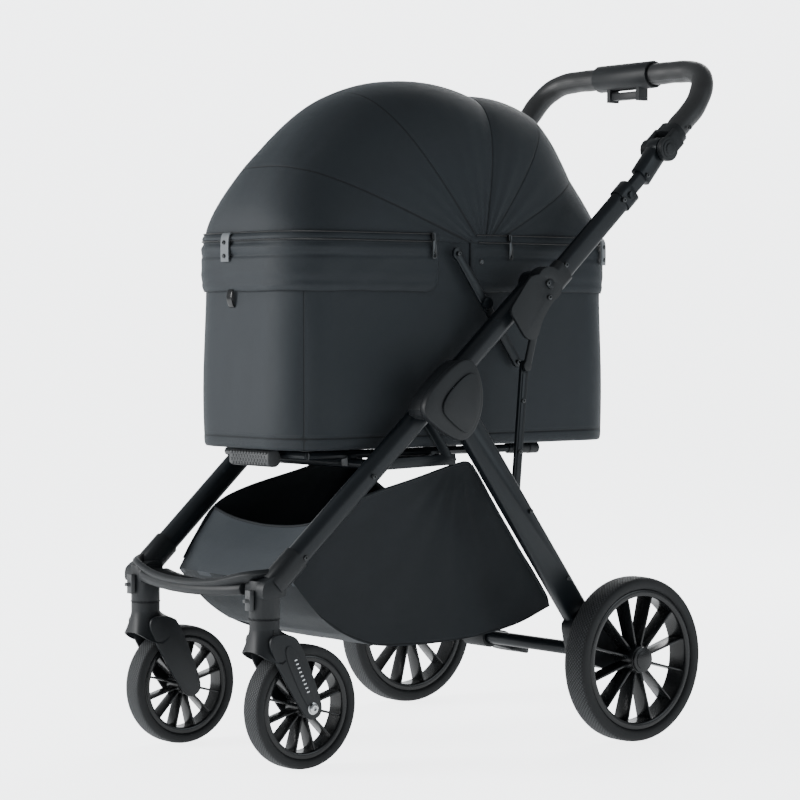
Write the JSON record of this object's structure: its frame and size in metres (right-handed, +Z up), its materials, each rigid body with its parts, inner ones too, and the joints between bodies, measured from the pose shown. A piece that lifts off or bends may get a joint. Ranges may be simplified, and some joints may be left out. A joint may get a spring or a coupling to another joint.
{
  "type": "pet stroller",
  "caption": "Folding pet stroller with swivelling front casters, braked rear axle, storage basket, lift-off cloth carrier and a gored folding hood.",
  "frame": {"origin": "middle of the footprint on the floor, at the centre of the bounding box's bottom", "axes": "+Z up, -Y towards the front casters, +Y towards the handle, +X to the left of whoever pushes it"},
  "size_m": [0.5662, 0.8785, 1.0185],
  "materials": {
    "frame_paint": "satin black powder-coated aluminium tube",
    "black_plastic": "matte black moulded plastic, finely grained",
    "gloss_plastic": "gloss black moulded plastic wheel",
    "tyre_rubber": "matte black foam rubber with a fine tread",
    "grip_leather": "black grained leatherette with a stitched seam",
    "charcoal_cloth": "charcoal coated woven polyester with a soft sheen",
    "mat_cloth": "grey short-pile cushion cloth",
    "steel": "spring steel wire"
  },
  "bodies": {
    "frame": {"main_tube_left": "frame_paint", "main_tube_right": "frame_paint", "caster_housing_left": "black_plastic", "caster_housing_right": "black_plastic", "footrest_bar": "black_plastic", "hub_cover_left": "black_plastic", "hub_cover_right": "black_plastic", "platform_frame": "frame_paint", "carrier_arm_left": "frame_paint", "carrier_arm_right": "frame_paint", "storage_basket": "charcoal_cloth"},
    "release_grip": {"release_grip": "black_plastic"},
    "swivel_lock_left": {"swivel_lock_left": "black_plastic"},
    "swivel_lock_right": {"swivel_lock_right": "black_plastic"},
    "caster_left": {"caster_fork_left": "black_plastic"},
    "caster_right": {"caster_fork_right": "black_plastic"},
    "front_wheel_left": {"front_tyre_left": "tyre_rubber", "front_rim_left": "gloss_plastic"},
    "front_wheel_right": {"front_tyre_right": "tyre_rubber", "front_rim_right": "gloss_plastic"},
    "rear_frame": {"rear_leg_left": "frame_paint", "rear_leg_right": "frame_paint", "rear_foot_left": "black_plastic", "rear_foot_right": "black_plastic", "axle_bar": "frame_paint"},
    "rear_wheel_left": {"rear_tyre_left": "tyre_rubber", "rear_rim_left": "gloss_plastic"},
    "rear_wheel_right": {"rear_tyre_right": "tyre_rubber", "rear_rim_right": "gloss_plastic"},
    "brake": {"brake_pedal": "black_plastic"},
    "handle": {"fold_casing_left": "black_plastic", "fold_casing_right": "black_plastic", "upper_tube_left": "frame_paint", "upper_tube_right": "frame_paint"},
    "struts": {"strut_left": "frame_paint", "strut_right": "frame_paint"},
    "slider": {"handle_slider_left": "frame_paint", "handle_slider_right": "frame_paint"},
    "grip": {"handle_arm_left": "black_plastic", "handle_arm_right": "black_plastic", "handle_grip": "grip_leather", "grip_module": "black_plastic"},
    "angle_button_left": {"angle_button_left": "black_plastic"},
    "angle_button_right": {"angle_button_right": "black_plastic"},
    "trigger": {"handle_trigger": "black_plastic"},
    "carrier": {"carrier_tub": "charcoal_cloth", "base_board": "black_plastic", "carrier_mat": "mat_cloth", "rim_band_front": "charcoal_cloth", "rim_band_rear": "charcoal_cloth", "hood_rear": "charcoal_cloth"},
    "hood_4": {"hood_bow_4": "steel", "hood_gore_45": "charcoal_cloth"},
    "hood_3": {"hood_bow_3": "steel", "hood_gore_34": "charcoal_cloth"},
    "hood_2": {"hood_bow_2": "steel", "hood_gore_23": "charcoal_cloth"},
    "hood_1": {"hood_bow_1": "steel", "hood_gore_12": "charcoal_cloth", "hood_front": "charcoal_cloth"}
  },
  "joints": [
    {"name": "release_squeeze", "type": "slide", "parent": "frame", "child": "release_grip", "axis": [0, -1, 0], "range_m": [0, 0.01], "stiffness_N_per_m": 400},
    {"name": "swivel_lock_slide_left", "type": "slide", "parent": "frame", "child": "swivel_lock_left", "axis": [0, 0, 1], "range_m": [0, 0.01]},
    {"name": "swivel_lock_slide_right", "type": "slide", "parent": "frame", "child": "swivel_lock_right", "axis": [0, 0, 1], "range_m": [0, 0.01]},
    {"name": "caster_swivel_left", "type": "hinge", "parent": "frame", "child": "caster_left", "pos_m": [0.144, -0.40025, 0.2], "axis": [0, 0, 1], "continuous": true},
    {"name": "caster_swivel_right", "type": "hinge", "parent": "frame", "child": "caster_right", "pos_m": [-0.144, -0.40025, 0.2], "axis": [0, 0, 1], "continuous": true},
    {"name": "front_wheel_spin_left", "type": "hinge", "parent": "caster_left", "child": "front_wheel_left", "pos_m": [0.144, -0.34025, 0.0856], "axis": [1, 0, 0], "continuous": true},
    {"name": "front_wheel_spin_right", "type": "hinge", "parent": "caster_right", "child": "front_wheel_right", "pos_m": [-0.144, -0.34025, 0.0856], "axis": [1, 0, 0], "continuous": true},
    {"name": "leg_fold", "type": "hinge", "parent": "frame", "child": "rear_frame", "pos_m": [0, -0.10825, 0.498], "axis": [1, 0, 0], "range_deg": [0, 51]},
    {"name": "rear_wheel_spin_left", "type": "hinge", "parent": "rear_frame", "child": "rear_wheel_left", "pos_m": [0.2596, 0.17975, 0.12], "axis": [1, 0, 0], "continuous": true},
    {"name": "rear_wheel_spin_right", "type": "hinge", "parent": "rear_frame", "child": "rear_wheel_right", "pos_m": [-0.2596, 0.17975, 0.12], "axis": [1, 0, 0], "continuous": true},
    {"name": "brake_press", "type": "hinge", "parent": "rear_frame", "child": "brake", "pos_m": [0, 0.11075, 0.135], "axis": [-1, 0, 0], "range_deg": [0, 22]},
    {"name": "handle_fold", "type": "hinge", "parent": "frame", "child": "handle", "pos_m": [0, 0.06675, 0.665], "axis": [1, 0, 0], "range_deg": [0, 118]},
    {"name": "strut_swing", "type": "hinge", "parent": "handle", "child": "struts", "pos_m": [0, 0.03375, 0.547], "axis": [1, 0, 0], "range_deg": [-134.6, 0]},
    {"name": "handle_height", "type": "slide", "parent": "handle", "child": "slider", "axis": [0, 0.7486, 0.663], "range_m": [-0.028, 0.075]},
    {"name": "handle_angle", "type": "hinge", "parent": "slider", "child": "grip", "pos_m": [0, 0.29775, 0.868], "axis": [-1, 0, 0], "range_deg": [-35, 60]},
    {"name": "angle_button_left_press", "type": "slide", "parent": "grip", "child": "angle_button_left", "axis": [-1, 0, 0], "range_m": [0, 0.0035], "stiffness_N_per_m": 800},
    {"name": "angle_button_right_press", "type": "slide", "parent": "grip", "child": "angle_button_right", "axis": [1, 0, 0], "range_m": [0, 0.0035], "stiffness_N_per_m": 800},
    {"name": "trigger_squeeze", "type": "slide", "parent": "grip", "child": "trigger", "axis": [0, 0, 1], "range_m": [0, 0.002], "stiffness_N_per_m": 1500},
    {"name": "carrier_lift", "type": "slide", "parent": "frame", "child": "carrier", "axis": [0, 0, -1], "range_m": [-0.12, 0]},
    {"name": "hood_fold", "type": "hinge", "parent": "carrier", "child": "hood_4", "pos_m": [0, 0.00175, 0.714], "axis": [-1, 0, 0], "range_deg": [0, 17], "deforming": ["hood_gore_45"]},
    {"name": "hood_fold_3", "type": "hinge", "parent": "hood_4", "child": "hood_3", "pos_m": [0, 0.00175, 0.714], "axis": [-1, 0, 0], "range_deg": [0, 17], "deforming": ["hood_gore_34"]},
    {"name": "hood_fold_2", "type": "hinge", "parent": "hood_3", "child": "hood_2", "pos_m": [0, 0.00175, 0.714], "axis": [-1, 0, 0], "range_deg": [0, 39], "deforming": ["hood_gore_23"]},
    {"name": "hood_fold_1", "type": "hinge", "parent": "hood_2", "child": "hood_1", "pos_m": [0, 0.00175, 0.714], "axis": [-1, 0, 0], "range_deg": [0, 23], "deforming": ["hood_gore_12"]}
  ],
  "couplings": [
    {"joint": "leg_fold", "follows": "handle_fold", "ratio": 0.432},
    {"joint": "strut_swing", "follows": "handle_fold", "ratio": -1.14},
    {"joint": "hood_fold_3", "follows": "hood_fold", "ratio": 1},
    {"joint": "hood_fold_2", "follows": "hood_fold", "ratio": 2.294},
    {"joint": "hood_fold_1", "follows": "hood_fold", "ratio": 1.352}
  ]
}
